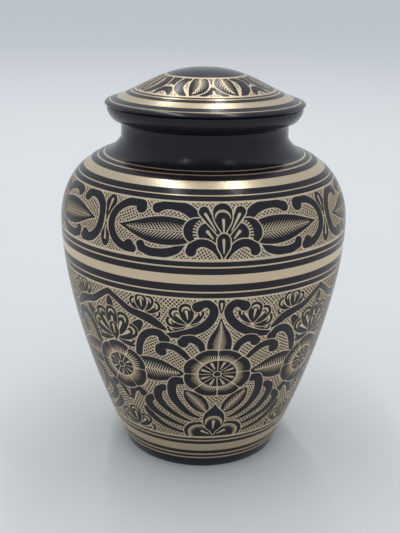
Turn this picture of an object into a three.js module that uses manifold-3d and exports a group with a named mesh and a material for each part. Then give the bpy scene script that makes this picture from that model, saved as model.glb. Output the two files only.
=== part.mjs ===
// Brass cremation urn with a lift-off lid: millimetres, +Z up, origin under the middle of the foot.
// The front faces -Y. The engraved ornament stands level with the outline, on a ground cut deeper.
import * as THREE from 'three';
import { mergeVertices } from 'three/addons/utils/BufferGeometryUtils.js';
import Module from 'manifold-3d';

const wasm = await Module();
wasm.setup();

// Foot and underside
const FOOT_RADIUS = 50.3;
const FOOT_SPREAD = 1.9;
const FOOT_HEIGHT = 5.6;
const FOOT_RING_WIDTH = 5.5;
const UNDERSIDE_RECESS = 3;
const FOOT_TOP_RADIUS = FOOT_RADIUS + FOOT_SPREAD;

// Belly, shoulder and neck: the rings between which the outline curves
const BELLY_RADIUS = 89.3;
const BELLY_HEIGHT = 151;
const NECK_RADIUS = 51.3;
const SHOULDER_OUT = 9;
const SHOULDER_RADIUS = NECK_RADIUS + SHOULDER_OUT;
const SHOULDER_HEIGHT = 193.7;
const NECK_RISE = 9.2;
const NECK_HEIGHT = SHOULDER_HEIGHT + NECK_RISE;

// How far the outline keeps its direction as it leaves each ring
const FOOT_FLARE = { out: 18, up: 40.5 };
const FULL_BELOW_BELLY = 43.6;
const FULL_ABOVE_BELLY = 25.2;
const SHOULDER_FALL = { out: 14.8, down: 4.1 };
const NECK_SWEEP = { in: 3.4, up: 1 };
const STRAIGHT_BELOW_NECK = 1.6;

// Collar under the lid: how far it stands out from the neck, and its edges' heights above each other
const COLLAR_LOWER_OUT = 5.6;
const COLLAR_LOWER_RISE = 11.4;
const COLLAR_UNDERCUT_WIDTH = 4.2;
const COLLAR_UNDERCUT_HEIGHT = 3.5;
const COLLAR_UPPER_OUT = 8.5;
const COLLAR_HEIGHT = 7.6;
const COLLAR_LIP = 2;
const COLLAR_LOWER_RADIUS = NECK_RADIUS + COLLAR_LOWER_OUT;
const COLLAR_LOWER_HEIGHT = NECK_HEIGHT + COLLAR_LOWER_RISE;
const COLLAR_UPPER_RADIUS = NECK_RADIUS + COLLAR_UPPER_OUT;
const COLLAR_TOP = COLLAR_LOWER_HEIGHT + COLLAR_HEIGHT;

// Lid, which overhangs the collar
const LID_OVERHANG = 1.2;
const LID_RADIUS = COLLAR_UPPER_RADIUS + LID_OVERHANG;
const LID_EDGE_HEIGHT = 2;
const LID_EDGE_ROUND = 1;
const LID_RISE = 21.5;
const LID_SLOPE_DEG = 18;
const DOME_SLOPE_REACH = 27;
const DOME_CROWN_REACH = 27.5;
const LID_LIP_WIDTH = 4.5;
const LID_LIP_HEIGHT = 1.2;
const SPIGOT_DEPTH = 7;
const SPIGOT_WALL = 2;

// The body is made in two castings that meet between the two engraved bands
const SEAM_HEIGHT = 139.5;
const SEAM_GAP = 0.3;

// Walls and clearances
const BODY_WALL = 2;
const LID_WALL = 1.8;
const LID_SEAT_GAP = 0.3;
const SPIGOT_CLEARANCE = 0.6;

// Engraved bands, from and to, measured up the outline from the top of the foot or the lid's edge
const LOWER_BAND = { from: 23.9, to: 127.3, steps: 4 };
const SHOULDER_BAND = { from: 151, to: 182, steps: 3 };
const LID_BAND = { from: 19.4, to: 38.2, steps: 2 };
const ENGRAVING_DEPTH = 0.6;
const RELIEF_ROOT = 0.7;

// The ornament is laid out in equal panels round the vessel
const PANELS = 4;

// Facets
const OUTSIDE_SEGMENTS = 32;
const INSIDE_SEGMENTS = 24;
const LID_SEGMENTS = 28;
const CURVE_STEPS = 4;
const SMALL_CURVE_STEPS = 2;

const MOUTH_RADIUS = NECK_RADIUS - BODY_WALL;
const FLOOR_HEIGHT = UNDERSIDE_RECESS + BODY_WALL;
const LID_SEAT = COLLAR_TOP + LID_SEAT_GAP;
const LID_TOP = LID_SEAT + LID_RISE;

function point(radius, height) {
  return new THREE.Vector2(radius, height);
}

function curve(...corners) {
  return new THREE.CubicBezierCurve(...corners);
}

// The belly rises from the foot to the widest ring
const belly = curve(
  point(FOOT_TOP_RADIUS, FOOT_HEIGHT),
  point(FOOT_TOP_RADIUS + FOOT_FLARE.out, FOOT_HEIGHT + FOOT_FLARE.up),
  point(BELLY_RADIUS, BELLY_HEIGHT - FULL_BELOW_BELLY),
  point(BELLY_RADIUS, BELLY_HEIGHT),
);

// The shoulder rolls over from there towards the neck
const shoulder = curve(
  point(BELLY_RADIUS, BELLY_HEIGHT),
  point(BELLY_RADIUS, BELLY_HEIGHT + FULL_ABOVE_BELLY),
  point(SHOULDER_RADIUS + SHOULDER_FALL.out, SHOULDER_HEIGHT - SHOULDER_FALL.down),
  point(SHOULDER_RADIUS, SHOULDER_HEIGHT),
);

const neck = curve(
  point(SHOULDER_RADIUS, SHOULDER_HEIGHT),
  point(SHOULDER_RADIUS - NECK_SWEEP.in, SHOULDER_HEIGHT + NECK_SWEEP.up),
  point(NECK_RADIUS, NECK_HEIGHT - STRAIGHT_BELOW_NECK),
  point(NECK_RADIUS, NECK_HEIGHT),
);

// The lid's dome leaves its edge at a steady slope and flattens towards the middle
function domeCurve() {
  const slope = THREE.MathUtils.degToRad(LID_SLOPE_DEG);
  const edge = point(LID_RADIUS - LID_EDGE_ROUND, LID_SEAT + LID_EDGE_HEIGHT);
  const rise = DOME_SLOPE_REACH * Math.sin(slope);
  return curve(
    edge,
    point(edge.x - DOME_SLOPE_REACH * Math.cos(slope), edge.y + rise),
    point(DOME_CROWN_REACH, LID_TOP),
    point(0, LID_TOP),
  );
}

const bodyOutline = new THREE.CurvePath();
bodyOutline.add(belly);
bodyOutline.add(shoulder);
const neckOutline = new THREE.CurvePath();
neckOutline.add(neck);
const lidOutline = new THREE.CurvePath();
lidOutline.add(domeCurve());

// A point of an outline at a distance along it, moved square to it: inwards for a positive inset
function outlinePoint(outline, distance, inset = 0) {
  const share = THREE.MathUtils.clamp(distance / outline.getLength(), 0, 1);
  const along = outline.getTangent(share);
  return outline.getPoint(share).addScaledVector(point(-along.y, along.x), inset);
}

function outlinePoints(outline, from, to, steps, inset = 0) {
  return Array.from({ length: steps + 1 }, (_, step) => (
    outlinePoint(outline, from + (to - from) * step / steps, inset)
  ));
}

// The outline along an engraved band, stepped down to its ground
function bandPoints(outline, band) {
  return [
    outlinePoint(outline, band.from),
    ...outlinePoints(outline, band.from, band.to, band.steps, ENGRAVING_DEPTH),
    outlinePoint(outline, band.to),
  ];
}

function toSolid(positions, triangles) {
  return new wasm.Manifold(new wasm.Mesh({
    numProp: 3,
    vertProperties: new Float32Array(positions),
    triVerts: new Uint32Array(triangles),
  }));
}

// A closed body turned about Z from a profile that starts and ends on the axis
function turned(profile, segments) {
  const lathe = new THREE.LatheGeometry(profile, segments);
  lathe.deleteAttribute('normal');
  lathe.deleteAttribute('uv');
  lathe.rotateX(Math.PI / 2);
  const merged = mergeVertices(lathe, 1e-4);
  const corners = merged.index.array;
  const triangles = [];
  for (let i = 0; i < corners.length; i += 3) {
    const [a, b, c] = corners.slice(i, i + 3);
    if (a !== b && b !== c && c !== a) triangles.push(a, b, c);
  }
  return toSolid(merged.attributes.position.array, triangles);
}

// The half panels round the vessel: the azimuth of their panel's middle, and how far they run from it
function halfPanels() {
  const width = 2 * Math.PI / PANELS;
  const halves = [];
  for (let panel = 0; panel < PANELS; panel += 1) {
    const middle = panel * width;
    halves.push({ middle, run: width / 2 }, { middle, run: -width / 2 });
  }
  return halves;
}

// A raised stroke: a flat ribbon along a path, whose half widths in mm are given at equal steps.
// Places on a band are shares: of the half panel across, and of the band's height up.
function strokeSolid(outline, band, half, { path, widths }) {
  const height = band.to - band.from;
  const breadth = outlinePoint(outline, band.from + height / 2).x * Math.abs(half.run);
  const corners = path.map(([across, up]) => point(across * breadth, up * height));
  const line = corners.length === 2 ? new THREE.LineCurve(...corners) : curve(...corners);
  const steps = widths.length - 1;
  const positions = [];
  for (let step = 0; step <= steps; step += 1) {
    const at = line.getPoint(step / steps);
    const along = line.getTangent(step / steps);
    const left = at.clone().add(point(-along.y, along.x).multiplyScalar(widths[step]));
    const right = at.clone().add(point(along.y, -along.x).multiplyScalar(widths[step]));
    const root = ENGRAVING_DEPTH + RELIEF_ROOT;
    for (const [edge, inset] of [[left, 0], [right, 0], [right, root], [left, root]]) {
      const ring = outlinePoint(outline, band.from + edge.y, inset);
      const azimuth = half.middle + edge.x / breadth * half.run;
      positions.push(ring.x * Math.sin(azimuth), -ring.x * Math.cos(azimuth), ring.y);
    }
  }
  const end = steps * 4;
  const triangles = [0, 2, 1, 0, 3, 2, end, end + 1, end + 2, end, end + 2, end + 3];
  for (let step = 0; step < steps; step += 1) {
    for (let side = 0; side < 4; side += 1) {
      const a = step * 4 + side;
      const b = step * 4 + (side + 1) % 4;
      triangles.push(a, b, b + 4, a, b + 4, a + 4);
    }
  }
  // A half panel that runs the other way is a mirror image, so its faces are turned about
  if (half.run < 0) triangles.reverse();
  return toSolid(positions, triangles);
}

// Strokes of the ornament: those of each half panel, and those on a panel's middle or on its border
const shoulderOrnament = {
  halves: [
    // long leaf
    { path: [[0.3, 0.47], [0.86, 0.5]], widths: [4.8, 7.7, 5.6, 0.4] },
    // scroll arms above and below it
    { path: [[0.24, 0.72], [0.3, 1], [0.56, 1], [0.58, 0.83]], widths: [2, 3, 2.4, 2.2] },
    { path: [[0.31, 0.27], [0.38, 0], [0.66, 0], [0.65, 0.25]], widths: [1.8, 2.8, 2.2] },
    // scroll that faces the leaf's tip
    { path: [[0.69, 0.84], [1.01, 1.16], [1.03, -0.1], [0.75, 0.19]], widths: [2.6, 2.3, 2.2, 2.3, 2.6] },
  ],
  middles: [
    // palmette: its upright petal, and the side petals as one band across it
    { path: [[0, 0.04], [0, 0.98]], widths: [1, 4, 3, 5.6, 3.4] },
    { path: [[-0.3, 0.42], [-0.1, 0.6], [0.1, 0.6], [0.3, 0.42]], widths: [4, 6.6, 6.6, 4] },
  ],
  borders: [],
};
const lowerOrnament = {
  halves: [
    // volute, and the wavy arm that runs on from it to the border of the panel
    { path: [[0.24, 0.93], [-0.03, 1.07], [-0.03, 0.76], [0.44, 0.75]], widths: [3.2, 2.6, 2.6, 1.8] },
    { path: [[0.46, 0.755], [0.64, 0.86], [0.84, 0.92], [1, 0.99]], widths: [1.8, 2.6, 1.8] },
    // side leaf that points at the rosette
    { path: [[0.31, 0.5], [0.74, 0.5]], widths: [0.5, 6.8, 4.6] },
    // feathers that sweep down to the lotus
    { path: [[0.32, 0.43], [0.58, 0.45], [0.52, 0.22], [0.17, 0.14]], widths: [2.2, 2.6, 2.2, 0.8] },
    { path: [[0.52, 0.37], [0.72, 0.34], [0.62, 0.16], [0.27, 0.1]], widths: [2, 2.6, 2.1, 0.8] },
  ],
  middles: [
    // rosette
    { path: [[-0.29, 0.487], [0.29, 0.487]], widths: [5.5, 15.5, 17.5, 15.5, 5.5] },
    // lotus, and the upright leaf
    { path: [[0, 0.02], [0, 0.26]], widths: [2, 6.6, 0.6] },
    { path: [[0, 0.67], [0, 0.87]], widths: [6.4, 5.2, 0.6] },
  ],
  borders: [
    // rosette and half lotus on the border between two panels
    { path: [[0.76, 0.49], [1.24, 0.49]], widths: [5, 14.8, 14.8, 5] },
    { path: [[0.76, 0.02], [1, 0.16], [1, 0.16], [1.24, 0.02]], widths: [2, 5, 2] },
  ],
};
const lidOrnament = {
  halves: [
    { path: [[0.52, 0.02], [0.46, 0.97]], widths: [0.8, 5.6, 4.4] },
  ],
  middles: [],
  borders: [],
};

function ornamentSolids(outline, band, ornament) {
  const solids = [];
  for (const half of halfPanels()) {
    const strokes = [...ornament.halves];
    if (half.run > 0) strokes.push(...ornament.middles, ...ornament.borders);
    for (const stroke of strokes) solids.push(strokeSolid(outline, band, half, stroke));
  }
  return solids;
}

// The whole body: one vessel with its foot, neck and collar
function bodySolid() {
  const top = bodyOutline.getLength();
  const middle = belly.getLength();
  const outside = turned([
    point(0, UNDERSIDE_RECESS),
    point(FOOT_RADIUS - FOOT_RING_WIDTH, UNDERSIDE_RECESS),
    point(FOOT_RADIUS - FOOT_RING_WIDTH, 0),
    point(FOOT_RADIUS, 0),
    point(FOOT_TOP_RADIUS, FOOT_HEIGHT),
    ...bandPoints(bodyOutline, LOWER_BAND),
    ...bandPoints(bodyOutline, SHOULDER_BAND),
    ...outlinePoints(bodyOutline, SHOULDER_BAND.to, top, SMALL_CURVE_STEPS + 1).slice(1),
    ...neck.getPoints(SMALL_CURVE_STEPS).slice(1),
    point(COLLAR_LOWER_RADIUS - COLLAR_UNDERCUT_WIDTH, COLLAR_LOWER_HEIGHT - COLLAR_UNDERCUT_HEIGHT),
    point(COLLAR_LOWER_RADIUS, COLLAR_LOWER_HEIGHT),
    point(COLLAR_UPPER_RADIUS, COLLAR_TOP - COLLAR_LIP),
    point(COLLAR_UPPER_RADIUS, COLLAR_TOP),
    point(0, COLLAR_TOP),
  ], OUTSIDE_SEGMENTS);
  const hollow = turned([
    point(0, FLOOR_HEIGHT),
    point(FOOT_TOP_RADIUS - BODY_WALL, FLOOR_HEIGHT),
    ...outlinePoints(bodyOutline, BODY_WALL, middle, CURVE_STEPS, BODY_WALL),
    ...outlinePoints(bodyOutline, middle, top, CURVE_STEPS, BODY_WALL).slice(1),
    ...outlinePoints(neckOutline, 0, neck.getLength(), SMALL_CURVE_STEPS, BODY_WALL).slice(1),
    point(MOUTH_RADIUS, COLLAR_TOP + COLLAR_LIP),
    point(0, COLLAR_TOP + COLLAR_LIP),
  ], INSIDE_SEGMENTS);
  return wasm.Manifold.union([
    outside.subtract(hollow),
    ...ornamentSolids(bodyOutline, LOWER_BAND, lowerOrnament),
    ...ornamentSolids(bodyOutline, SHOULDER_BAND, shoulderOrnament),
  ]);
}

// What lies between two heights
function levelSlice(solid, low, high) {
  const reach = 2 * BELLY_RADIUS;
  const slab = turned([point(0, low), point(reach, low), point(reach, high), point(0, high)], INSIDE_SEGMENTS);
  return solid.intersect(slab);
}

// The lid: a hollow dome with a rounded edge, and a ring below it that drops into the mouth
function lidSolid() {
  const top = lidOutline.getLength();
  const spigot = MOUTH_RADIUS - SPIGOT_CLEARANCE;
  const ceiling = outlinePoints(lidOutline, 0, top, CURVE_STEPS + 2, LID_WALL).slice(0, -1);
  const turnedLid = turned([
    point(0, LID_TOP - LID_WALL),
    ...ceiling.filter((corner) => corner.x < spigot - SPIGOT_WALL).reverse(),
    point(spigot - SPIGOT_WALL, LID_SEAT + LID_LIP_HEIGHT),
    point(spigot - SPIGOT_WALL, LID_SEAT - SPIGOT_DEPTH),
    point(spigot, LID_SEAT - SPIGOT_DEPTH),
    point(spigot, LID_SEAT + LID_LIP_HEIGHT),
    point(LID_RADIUS - LID_LIP_WIDTH, LID_SEAT + LID_LIP_HEIGHT),
    point(LID_RADIUS - LID_LIP_WIDTH, LID_SEAT),
    point(LID_RADIUS - LID_EDGE_ROUND / 2, LID_SEAT),
    point(LID_RADIUS, LID_SEAT + LID_EDGE_ROUND),
    outlinePoint(lidOutline, 0),
    ...bandPoints(lidOutline, LID_BAND),
    ...outlinePoints(lidOutline, LID_BAND.to, top, SMALL_CURVE_STEPS).slice(1),
  ], LID_SEGMENTS);
  return wasm.Manifold.union([turnedLid, ...ornamentSolids(lidOutline, LID_BAND, lidOrnament)]);
}

// Brass under dark lacquer, seen in the plain parts and the raised ornament
function lacqueredBrass() {
  return new THREE.MeshStandardMaterial({ color: 0x2b2a30, roughness: 0.25, metalness: 0.6 });
}

function piece(name, solid) {
  const { vertProperties, triVerts } = solid.getMesh();
  const geometry = new THREE.BufferGeometry();
  geometry.setAttribute('position', new THREE.BufferAttribute(vertProperties, 3));
  geometry.setIndex(new THREE.BufferAttribute(triVerts, 1));
  geometry.computeVertexNormals();
  const mesh = new THREE.Mesh(geometry, lacqueredBrass());
  mesh.name = name;
  return mesh;
}

const body = bodySolid();
const urn = new THREE.Group();
urn.add(piece('urn_belly', levelSlice(body, 0, SEAM_HEIGHT)));
urn.add(piece('urn_shoulder', levelSlice(body, SEAM_HEIGHT + SEAM_GAP, COLLAR_TOP)));
urn.add(piece('lid', lidSolid()));

export default urn;
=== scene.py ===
"""Looks of a lidded brass urn: black lacquer cut through to bright brass in rings and engraved bands.

Lengths in the geometry are millimetres and become metres when a mesh is made. +Z is up, the front faces -Y.
Places in a band of ornament are shares: across the half panel from its middle, and up the band.
"""

import math

import bpy
import numpy as np
from mathutils import Matrix, Vector
from mathutils.geometry import delaunay_2d_cdt


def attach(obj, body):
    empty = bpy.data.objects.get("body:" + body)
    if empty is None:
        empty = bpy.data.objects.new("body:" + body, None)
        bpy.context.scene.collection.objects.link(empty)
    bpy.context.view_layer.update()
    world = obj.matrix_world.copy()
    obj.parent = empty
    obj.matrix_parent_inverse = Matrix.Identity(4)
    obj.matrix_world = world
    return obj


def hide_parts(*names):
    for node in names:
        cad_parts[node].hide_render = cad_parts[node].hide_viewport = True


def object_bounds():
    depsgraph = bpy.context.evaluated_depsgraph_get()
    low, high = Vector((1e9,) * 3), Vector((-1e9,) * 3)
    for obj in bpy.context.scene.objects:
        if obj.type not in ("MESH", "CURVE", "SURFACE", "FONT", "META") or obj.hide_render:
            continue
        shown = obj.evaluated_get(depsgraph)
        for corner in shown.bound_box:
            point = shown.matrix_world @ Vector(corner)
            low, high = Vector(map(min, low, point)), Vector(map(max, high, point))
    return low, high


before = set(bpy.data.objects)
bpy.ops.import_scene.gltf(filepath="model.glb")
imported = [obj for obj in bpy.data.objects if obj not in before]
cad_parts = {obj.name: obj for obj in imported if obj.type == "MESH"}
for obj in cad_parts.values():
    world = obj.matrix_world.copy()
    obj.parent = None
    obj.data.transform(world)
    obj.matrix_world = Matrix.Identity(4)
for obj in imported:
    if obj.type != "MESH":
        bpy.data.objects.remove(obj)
cad_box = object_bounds()
MM = 0.001

# Foot, belly, shoulder and neck: the rings between which the outline curves
FOOT_RADIUS = 50.3
FOOT_TOP_RADIUS = 52.2
FOOT_HEIGHT = 5.6
FOOT_RING_WIDTH = 5.5
UNDERSIDE_RECESS = 3.0
BOX_CLEARANCE = 0.02
BELLY_RADIUS = cad_box[1][0] / MM - BOX_CLEARANCE
BELLY_HEIGHT = 151.0
NECK_RADIUS = 51.3
NECK_HEIGHT = 202.9
SHOULDER_RADIUS = 60.3
SHOULDER_HEIGHT = 193.7

# How far the outline keeps its direction as it leaves each ring
FOOT_FLARE = (18.0, 40.5)
FULL_BELOW_BELLY = 43.6
FULL_ABOVE_BELLY = 25.2
SHOULDER_FALL = (14.8, 4.1)
NECK_SWEEP = (3.4, 1.0)
STRAIGHT_BELOW_NECK = 1.6

# Collar and lid
COLLAR_LOWER_RADIUS = 56.9
COLLAR_LOWER_HEIGHT = 214.3
COLLAR_UPPER_RADIUS = 59.8
COLLAR_TOP = 221.9
COLLAR_EDGE_HEIGHT = 2.0
COLLAR_FLARE = 4.4
COLLAR_NOSE = (0.5, 0.7)
UNDERCUT_START = 4.0
UNDERCUT_STRAIGHT = 1.8
UNDERCUT_REACH = (3.6, 2.6)
LID_RADIUS = 61.0
LID_SEAT = 222.2
LID_TOP = cad_box[1][2] / MM
LID_EDGE_HEIGHT = 2.0
LID_EDGE_ROUND = 1.0
LID_SLOPE = math.radians(18)
DOME_SLOPE_REACH = 27.0
DOME_CROWN_REACH = 27.5
LID_LIP_WIDTH = 4.5
LID_LIP_HEIGHT = 1.2
SPIGOT_DEPTH = 7.0
SPIGOT_WALL = 2.0
SPIGOT_CLEARANCE = 0.6
SPIGOT_MARGIN = 0.5
BODY_WALL = 2.0
LID_WALL = 1.8
EDGE_ROUND = 0.6

# Depth of the turned brass rings and of the hand-cut ground, and how deep the lacquered plates are rooted
RING_DEPTH = 0.14
GROUND_DEPTH = 0.14
ROOT_DEPTH = 0.26

# Engraved bands, from and to, measured up the outline from the top of the foot or the lid's edge
LOWER_BAND = (23.9, 127.3)
SHOULDER_BAND = (151.0, 182.0)
LID_BAND = (19.4, 38.2)

# Equal panels of ornament go round each band
PANELS = 4
PANEL_WIDTH = 2 * math.pi / PANELS

# Heights between which a ring of the body is brass, and radii between which one of the lid is
BODY_RINGS = [(7.3, 8.5), (10.5, 11.8), (14.6, 20.7), (23.2, 24.4), (131.4, 132.3), (136.6, 142.3),
              (146.0, 146.9), (183.2, 183.75), (186.3, 189.7), (191.55, 192.0), (193.0, 193.4)]
LID_RINGS = [(57.3, 58.3), (48.1, 53.6), (44.4, 45.5)]

# The same for the sunk ground of each engraved band
LOWER_BORDERS = (26.1, 128.4)
SHOULDER_BORDERS = (149.7, 180.95)
LID_BORDERS = (43.3, 23.4)

# Fineness of the ornament's grid, of its outlines and of the triangles inside them
CELL = 0.2
CONTOUR_TOLERANCE = 0.05
SMALLEST_LOOP = 6
LONGEST_EDGE = 3.0
INNER_POINT_PITCH = 3.0
INNER_POINT_CLEARANCE = 0.7
SMALLEST_AREA = 1e-5
SIDE_STEPS = 12
SIDE_TOLERANCE = 1e-5

# Least half width of a line, pitch of combed teeth, and how far the lacquer stays off a band's borders
THINNEST = 0.02
COMB_PITCH = 1.25
EDGE_MARGIN = 0.15

# Fineness of the turned shells, outside and inside, and what counts as a crease or as one point
TURNED_SEGMENTS = 192
COLLAR_STEPS = 8
BODY_PITCH = 2.2
NECK_PITCH = 1.2
LID_PITCH = 1.8
INSIDE_BODY_PITCH = 5.0
INSIDE_NECK_PITCH = 2.4
INSIDE_LID_PITCH = 3.0
CREASE = math.radians(32)
TOUCHING = 1e-6

# Values of a distance field far inside and far outside a shape
FAR_INSIDE = 9.0
FAR_OUTSIDE = -99.0

# Material numbers of the turned shells, and of the relief
BLACK, BRASS, GROUND = 0, 1, 2
LACQUERED, BARE = 0, 1


def bezier(corners, steps):
    """Points of a cubic curve, first and last corner included."""
    t = np.linspace(0.0, 1.0, steps + 1)[:, None]
    a, b, c, d = (np.array(corner, float) for corner in corners)
    return (1 - t) ** 3 * a + 3 * (1 - t) ** 2 * t * b + 3 * (1 - t) * t ** 2 * c + t ** 3 * d


class Outline:
    """A profile, as radius and height, that is looked up by the distance along it."""

    def __init__(self, points):
        self.points = points
        self.distance = np.concatenate([[0.0], np.cumsum(np.hypot(*np.diff(points, axis=0).T))])
        self.length = self.distance[-1]

    def place(self, distance):
        return (np.interp(distance, self.distance, self.points[:, 0]),
                np.interp(distance, self.distance, self.points[:, 1]))

    def normal(self, distance):
        """Outward normal, as its parts along the radius and the axis."""
        reach = 0.3
        low = np.clip(np.asarray(distance, float) - reach, 0.0, self.length)
        high = np.clip(np.asarray(distance, float) + reach, 0.0, self.length)
        r0, z0 = self.place(low)
        r1, z1 = self.place(high)
        size = np.hypot(r1 - r0, z1 - z0)
        return (z1 - z0) / size, -(r1 - r0) / size

    def at(self, distance, inset=0.0):
        r, z = self.place(distance)
        nr, nz = self.normal(distance)
        return r - inset * nr, z - inset * nz

    def stretch(self, start, end, pitch, inset=0.0):
        """Points from one distance to another, no further apart than the pitch."""
        steps = max(1, math.ceil(abs(end - start) / pitch))
        return np.stack(self.at(np.linspace(start, end, steps + 1), inset), axis=1)

    def at_height(self, height):
        return float(np.interp(height, self.points[:, 1], self.distance))

    def at_radius(self, radius):
        """Distance at a radius, for an outline that runs inwards."""
        return float(np.interp(-radius, -self.points[:, 0], self.distance))


BODY = Outline(np.vstack([
    bezier([(FOOT_TOP_RADIUS, FOOT_HEIGHT),
            (FOOT_TOP_RADIUS + FOOT_FLARE[0], FOOT_HEIGHT + FOOT_FLARE[1]),
            (BELLY_RADIUS, BELLY_HEIGHT - FULL_BELOW_BELLY),
            (BELLY_RADIUS, BELLY_HEIGHT)], 300),
    bezier([(BELLY_RADIUS, BELLY_HEIGHT),
            (BELLY_RADIUS, BELLY_HEIGHT + FULL_ABOVE_BELLY),
            (SHOULDER_RADIUS + SHOULDER_FALL[0], SHOULDER_HEIGHT - SHOULDER_FALL[1]),
            (SHOULDER_RADIUS, SHOULDER_HEIGHT)], 200)[1:],
]))
NECK = Outline(bezier([(SHOULDER_RADIUS, SHOULDER_HEIGHT),
                       (SHOULDER_RADIUS - NECK_SWEEP[0], SHOULDER_HEIGHT + NECK_SWEEP[1]),
                       (NECK_RADIUS, NECK_HEIGHT - STRAIGHT_BELOW_NECK),
                       (NECK_RADIUS, NECK_HEIGHT)], 60))
DOME_EDGE = (LID_RADIUS - LID_EDGE_ROUND, LID_SEAT + LID_EDGE_HEIGHT)
DOME = Outline(bezier([DOME_EDGE,
                       (DOME_EDGE[0] - DOME_SLOPE_REACH * math.cos(LID_SLOPE),
                        DOME_EDGE[1] + DOME_SLOPE_REACH * math.sin(LID_SLOPE)),
                       (DOME_CROWN_REACH, LID_TOP),
                       (0.0, LID_TOP)], 300))


# Distance fields of the ornament: positive inside the black lacquer, in millimetres

class Panel:
    """Half a panel of an engraved band, as a grid over the shares across and up."""

    def __init__(self, outline, band):
        self.outline = outline
        self.low, self.high = band
        self.height = self.high - self.low
        radius, _ = outline.place(np.linspace(self.low, self.high, 200))
        self.breadths = radius * PANEL_WIDTH / 2
        self.widest = self.breadths.max()
        self.across = np.linspace(0.0, 1.0, int(round(self.widest / CELL)) + 1)
        self.up = np.linspace(0.0, 1.0, int(round(self.height / CELL)) + 1)
        self.black = np.full((len(self.up), len(self.across)), -FAR_INSIDE)

    def breadth(self, up):
        return np.interp(up, np.linspace(0.0, 1.0, len(self.breadths)), self.breadths)

    def window(self, places, reach):
        """The part of the grid within reach of some places: its slices, and its shares."""
        places = np.array(places, float)
        side = reach / self.breadth(places[:, 1].mean())
        rise = reach / self.height
        i0, i1 = np.searchsorted(self.across, [places[:, 0].min() - side, places[:, 0].max() + side])
        j0, j1 = np.searchsorted(self.up, [places[:, 1].min() - rise, places[:, 1].max() + rise])
        rows = slice(max(j0 - 1, 0), j1 + 1)
        columns = slice(max(i0 - 1, 0), i1 + 1)
        p, q = np.meshgrid(self.across[columns], self.up[rows])
        return (rows, columns), p, q

    def offsets(self, place, p, q):
        return (p - place[0]) * self.breadth(q), (q - place[1]) * self.height

    def lay(self, window, inside, outline):
        """A black shape with a bright outline cut round it."""
        self.black[window] = np.maximum(np.minimum(self.black[window], -(inside + outline)), inside)

    def cut(self, window, inside):
        """A bright stroke cut into whatever is there."""
        self.black[window] = np.minimum(self.black[window], -inside)


def eased(values, t):
    """Values at equal steps, joined by a smooth curve, at shares t of the way."""
    v = np.concatenate([[2 * values[0] - values[1]], values, [2 * values[-1] - values[-2]]])
    x = np.clip(t, 0, 1) * (len(values) - 1)
    k = np.minimum(x.astype(int), len(values) - 2)
    f = x - k
    a, b, c, d = v[k], v[k + 1], v[k + 2], v[k + 3]
    return 0.5 * (2 * b + (c - a) * f + (2 * a - 5 * b + 4 * c - d) * f ** 2
                  + (3 * b - a - 3 * c + d) * f ** 3)


def spline(places, half_widths):
    """A smooth line through places, with half widths that follow it."""
    places = np.array(places, float)
    steps = max(len(half_widths) * 4, 12) if len(places) == 2 else (len(places) - 1) * 6
    t = np.linspace(0.0, 1.0, steps + 1)
    line = np.stack([eased(places[:, 0], t), eased(places[:, 1], t)], axis=1)
    return line, np.maximum(eased(np.array(half_widths, float), t), THINNEST)


def ribbon(panel, places, half_widths, margin=1.5):
    """Inside distance of a ribbon, and for each grid point how far along and to which side it lies."""
    line, half = spline(places, half_widths)
    window, p, q = panel.window(line, half.max() + margin)
    inside = np.full(p.shape, FAR_OUTSIDE)
    near = np.full(p.shape, np.inf)
    along = np.zeros(p.shape)
    side = np.zeros(p.shape)
    run = 0.0
    last = len(line) - 2
    for k in range(len(line) - 1):
        scale = np.array([panel.breadth((line[k, 1] + line[k + 1, 1]) / 2), panel.height])
        step = (line[k + 1] - line[k]) * scale
        length = math.hypot(*step)
        dx = (p - line[k, 0]) * scale[0]
        dy = (q - line[k, 1]) * scale[1]
        reached = (dx * step[0] + dy * step[1]) / length
        t = np.clip(reached / length, 0.0, 1.0)
        away = np.hypot(dx - t * step[0], dy - t * step[1])
        inside = np.maximum(inside, half[k] + t * (half[k + 1] - half[k]) - away)
        closer = away < near
        near = np.where(closer, away, near)
        along = np.where(closer, run + (reached if k in (0, last) else t * length), along)
        side = np.where(closer, (step[0] * dy - step[1] * dx) / length, side)
        run += length
    half_here = np.interp(along / run, np.linspace(0.0, 1.0, len(half)), half)
    return window, inside, along, side, run, half_here


def disc(panel, place, radius, margin):
    window, p, q = panel.window([place], radius + margin)
    dx, dy = panel.offsets(place, p, q)
    return window, radius - np.hypot(dx, dy)


def stripes(phase, pitch, share):
    """Inside distance of parallel cuts, by the distance across them; a share that varies tapers them."""
    return share * pitch / 2 - np.abs((phase / pitch) % 1.0 - 0.5) * pitch


def blend_in(whole, window, part, inside):
    """Keeps the larger of two fields where a part's window overlaps the whole's."""
    rows = slice(max(window[0].start, part[0].start), min(window[0].start + whole.shape[0],
                                                          part[0].start + inside.shape[0]))
    columns = slice(max(window[1].start, part[1].start), min(window[1].start + whole.shape[1],
                                                             part[1].start + inside.shape[1]))
    if rows.stop <= rows.start or columns.stop <= columns.start:
        return
    here = whole[rows.start - window[0].start:rows.stop - window[0].start,
                 columns.start - window[1].start:columns.stop - window[1].start]
    there = inside[rows.start - part[0].start:rows.stop - part[0].start,
                   columns.start - part[1].start:columns.stop - part[1].start]
    np.maximum(here, there, out=here)


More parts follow.
